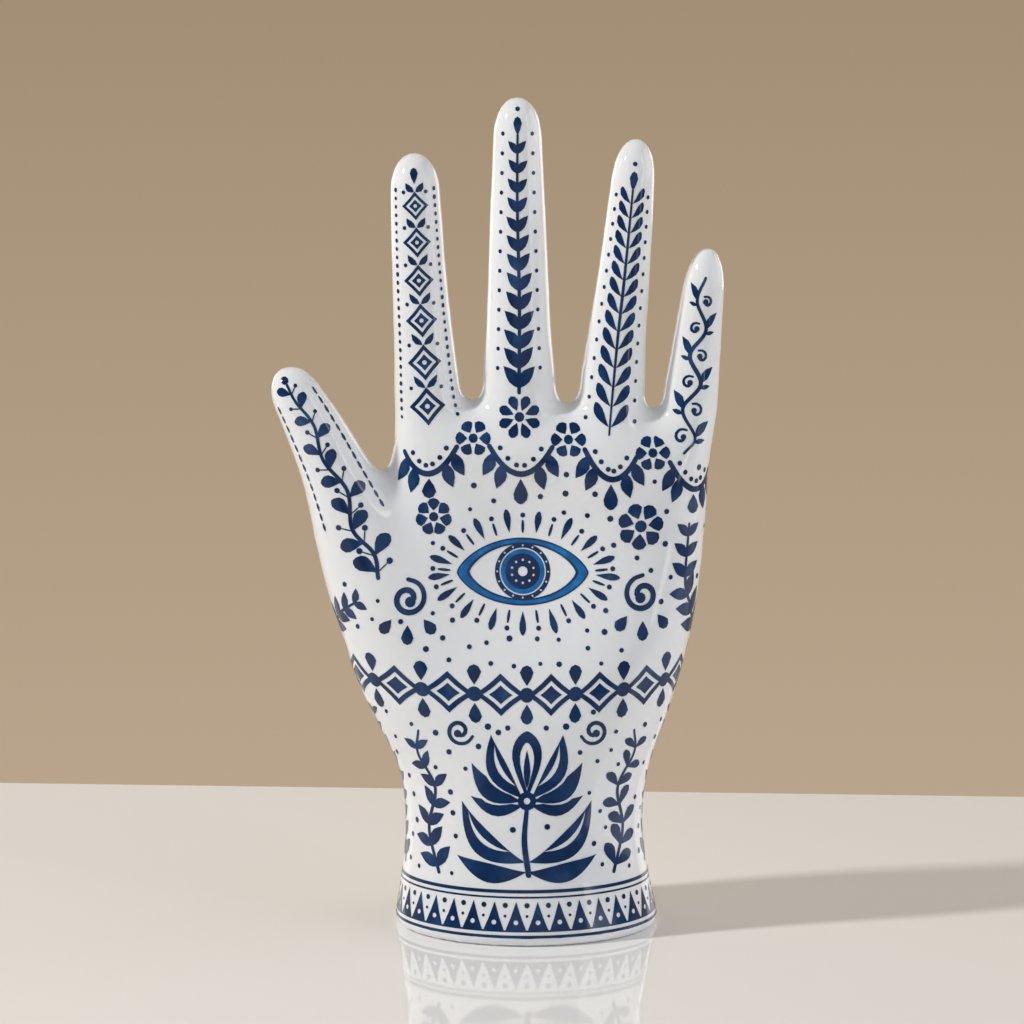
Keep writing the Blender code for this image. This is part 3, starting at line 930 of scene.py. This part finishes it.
def studioRoom():
    world = bpy.data.worlds.new("studio")
    bpy.context.scene.world = world
    world.use_nodes = True
    tree = world.node_tree
    tree.nodes.clear()
    place = addNode(tree, "ShaderNodeTexCoord")
    split = addNode(tree, "ShaderNodeSeparateXYZ", links={0: place.outputs["Generated"]})
    high = addNode(tree, "ShaderNodeMapRange", {"From Min": studio["fade"][0], "From Max": studio["fade"][1]},
                   {"Value": split.outputs["Z"]})
    ray = addNode(tree, "ShaderNodeLightPath")
    darker = addNode(tree, "ShaderNodeMath", {"operation": "SUBTRACT", "use_clamp": True},  # gloss mirrors the low wall
                     {0: high.outputs[0], 1: ray.outputs["Is Glossy Ray"]})
    wall = addNode(tree, "ShaderNodeMix",
                   {"data_type": "RGBA", 6: srgb(studio["wallLow"]), 7: srgb(studio["wallHigh"])},
                   {0: darker.outputs[0]})
    ahead = addNode(tree, "ShaderNodeMapRange", {"From Max": studio["ahead"]}, {"Value": split.outputs["Y"]})
    room = addNode(tree, "ShaderNodeMix", {"data_type": "RGBA", 6: srgb(studio["dim"]), 7: srgb(studio["room"])},
                   {0: ray.outputs["Is Camera Ray"]})
    seen = addNode(tree, "ShaderNodeMix", {"data_type": "RGBA"},
                   {0: ahead.outputs[0], 6: room.outputs[2], 7: wall.outputs[2]})
    direct = addNode(tree, "ShaderNodeMath", {"operation": "MAXIMUM"},
                     {0: ray.outputs["Is Camera Ray"], 1: ray.outputs["Is Glossy Ray"]})
    plain = addNode(tree, "ShaderNodeMath", {"operation": "MAXIMUM"}, {0: direct.outputs[0], 1: ahead.outputs[0]})
    shown = addNode(tree, "ShaderNodeBackground", {"Strength": 1.0}, {"Color": seen.outputs[2]})
    fill = addNode(tree, "ShaderNodeBackground", {"Color": srgb(studio["fill"]), "Strength": studio["fillLevel"]})
    both = addNode(tree, "ShaderNodeMixShader", links={0: plain.outputs[0], 1: fill.outputs[0], 2: shown.outputs[0]})
    addNode(tree, "ShaderNodeOutputWorld", links={"Surface": both.outputs[0]})


studioRoom()

lamps = {
    # degrees to the right of the front and up from the table, then distance, width, height, power and colour
    "window_left": (-74.0, 36.0, 1100.0, 75.0, 75.0, 7.7, "#FFFCF7"),
    "wall_right": (84.0, 22.0, 1500.0, 1900.0, 1100.0, 8.8, "#FBFBFF"),
    "strip_right": (50.0, 20.0, 850.0, 90.0, 640.0, 0.4, "#FFFDFA"),
    "front_low": (20.0, 14.0, 1000.0, 1600.0, 480.0, 0.6, "#FFFFFF"),
    "back_right": (140.0, 8.0, 1100.0, 500.0, 400.0, 1.2, "#FFFCF8"),
    "back_left": (-140.0, 8.0, 1100.0, 500.0, 400.0, 1.0, "#FFFCF8"),
}


aimHeight = 70.0  # every lamp looks at this height on the hand


def softLamp(name, turn, height, distance, width, tall, power, colour):
    light = bpy.data.lights.new(name, "AREA")
    light.shape = "RECTANGLE"
    light.size, light.size_y = width * mm, tall * mm
    light.energy = power
    light.color = srgb(colour)[:3]
    lamp = bpy.data.objects.new(name, light)
    bpy.context.scene.collection.objects.link(lamp)
    turn, height = math.radians(turn), math.radians(height)
    aim = Vector((wristX, 0, aimHeight)) * mm
    way = Vector((math.sin(turn) * math.cos(height), -math.cos(turn) * math.cos(height), math.sin(height)))
    lamp.location = aim + way * distance * mm
    lamp.rotation_euler = (-way).to_track_quat("-Z", "Y").to_euler()


for name, values in lamps.items():
    softLamp(name, *values)

view = {"lens": 138.69, "sideways": -2.85, "distance": 750.0, "height": 194.0, "down": 8.6}

camera = bpy.data.objects.new("camera", bpy.data.cameras.new("camera"))
bpy.context.scene.collection.objects.link(camera)
camera.data.sensor_width = 36.0
camera.data.lens = view["lens"]
camera.data.clip_start = 0.01
camera.location = ((wristX + view["sideways"]) * mm, -view["distance"] * mm, view["height"] * mm)
camera.rotation_euler = (math.radians(90 - view["down"]), 0, 0)
bpy.context.scene.camera = camera
bpy.context.scene.view_settings.view_transform = "Standard"
print("stage, lamps and camera are set")
